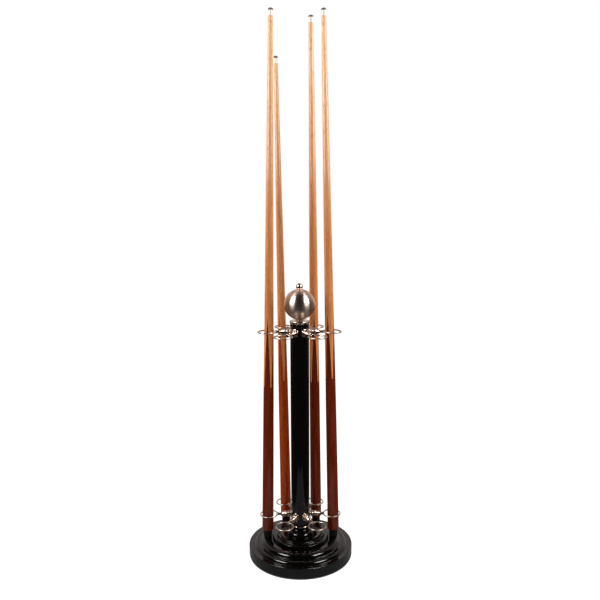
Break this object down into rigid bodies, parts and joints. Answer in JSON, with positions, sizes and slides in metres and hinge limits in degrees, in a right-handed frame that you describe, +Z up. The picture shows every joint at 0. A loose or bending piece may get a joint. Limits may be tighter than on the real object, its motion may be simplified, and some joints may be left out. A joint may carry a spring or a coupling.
{
  "type": "pool cue set in a floor stand",
  "caption": "Round floor stand with ringed nickel holders on a black column and ball finial, holding tapered spliced pool cues that lift out.",
  "frame": {"origin": "centre of the base's underside, on the floor and on the column's axis", "axes": "+Z up the column; +X to the right and -Y to the front, between the two empty holders"},
  "size_m": [0.292, 0.292, 1.4727],
  "materials": {
    "black_lacquer": "turned wood under black gloss lacquer",
    "nickel": "turned and lightly polished nickel plate",
    "brushed_nickel": "brushed nickel plate",
    "steel": "plain zinc-plated steel",
    "cast_iron": "plain cast iron",
    "felt": "black felt",
    "shaft_wood": "lacquered light hardwood, warm tan",
    "butt_wood": "lacquered red-brown hardwood",
    "butt_wood_light": "lacquered orange-brown hardwood",
    "ferrule": "cream moulded ferrule",
    "tip_leather": "pressed leather, chalked",
    "rubber": "matte black rubber"
  },
  "bodies": {
    "stand": {"base": "black_lacquer", "weight_plate": "cast_iron", "base_pad": "felt", "column_foot": "black_lacquer", "foot_ring": "nickel", "column": "black_lacquer", "tie_rod": "steel", "tie_washer": "steel", "tie_nut": "steel", "top_cap": "nickel", "ball_finial": "brushed_nickel", "finial_knob": "nickel", "right_lower_arm": "nickel", "right_lower_ring": "nickel", "back_right_lower_arm": "nickel", "back_right_lower_ring": "nickel", "back_left_lower_arm": "nickel", "back_left_lower_ring": "nickel", "left_lower_arm": "nickel", "left_lower_ring": "nickel", "front_left_lower_arm": "nickel", "front_left_lower_ring": "nickel", "front_right_lower_arm": "nickel", "front_right_lower_ring": "nickel", "right_upper_arm": "nickel", "right_upper_ring": "nickel", "back_right_upper_arm": "nickel", "back_right_upper_ring": "nickel", "back_left_upper_arm": "nickel", "back_left_upper_ring": "nickel", "left_upper_arm": "nickel", "left_upper_ring": "nickel", "front_left_upper_arm": "nickel", "front_left_upper_ring": "nickel", "front_right_upper_arm": "nickel", "front_right_upper_ring": "nickel"},
    "left_cue": {"left_cue_tip": "tip_leather", "left_cue_ferrule": "ferrule", "left_cue_shaft": "shaft_wood", "left_cue_butt": "butt_wood", "left_cue_bumper": "rubber", "left_cue_bumper_screw": "steel"},
    "back_left_cue": {"back_left_cue_tip": "tip_leather", "back_left_cue_ferrule": "ferrule", "back_left_cue_shaft": "shaft_wood", "back_left_cue_butt": "butt_wood_light", "back_left_cue_bumper": "rubber", "back_left_cue_bumper_screw": "steel"},
    "back_right_cue": {"back_right_cue_tip": "tip_leather", "back_right_cue_ferrule": "ferrule", "back_right_cue_shaft": "shaft_wood", "back_right_cue_butt": "butt_wood", "back_right_cue_bumper": "rubber", "back_right_cue_bumper_screw": "steel"},
    "right_cue": {"right_cue_tip": "tip_leather", "right_cue_ferrule": "ferrule", "right_cue_shaft": "shaft_wood", "right_cue_butt": "butt_wood", "right_cue_bumper": "rubber", "right_cue_bumper_screw": "steel"}
  },
  "joints": [
    {"name": "left_cue_lift", "type": "slide", "parent": "stand", "child": "left_cue", "axis": [0.0076, 0.0017, 1], "range_m": [0, 0.6]},
    {"name": "back_left_cue_lift", "type": "slide", "parent": "stand", "child": "back_left_cue", "axis": [-0.0061, -0.0091, 0.9999], "range_m": [0, 0.6]},
    {"name": "back_right_cue_lift", "type": "slide", "parent": "stand", "child": "back_right_cue", "axis": [-0.0058, -0.0076, 1], "range_m": [0, 0.6]},
    {"name": "right_cue_lift", "type": "slide", "parent": "stand", "child": "right_cue", "axis": [-0.0089, 0.0013, 1], "range_m": [0, 0.6]}
  ]
}
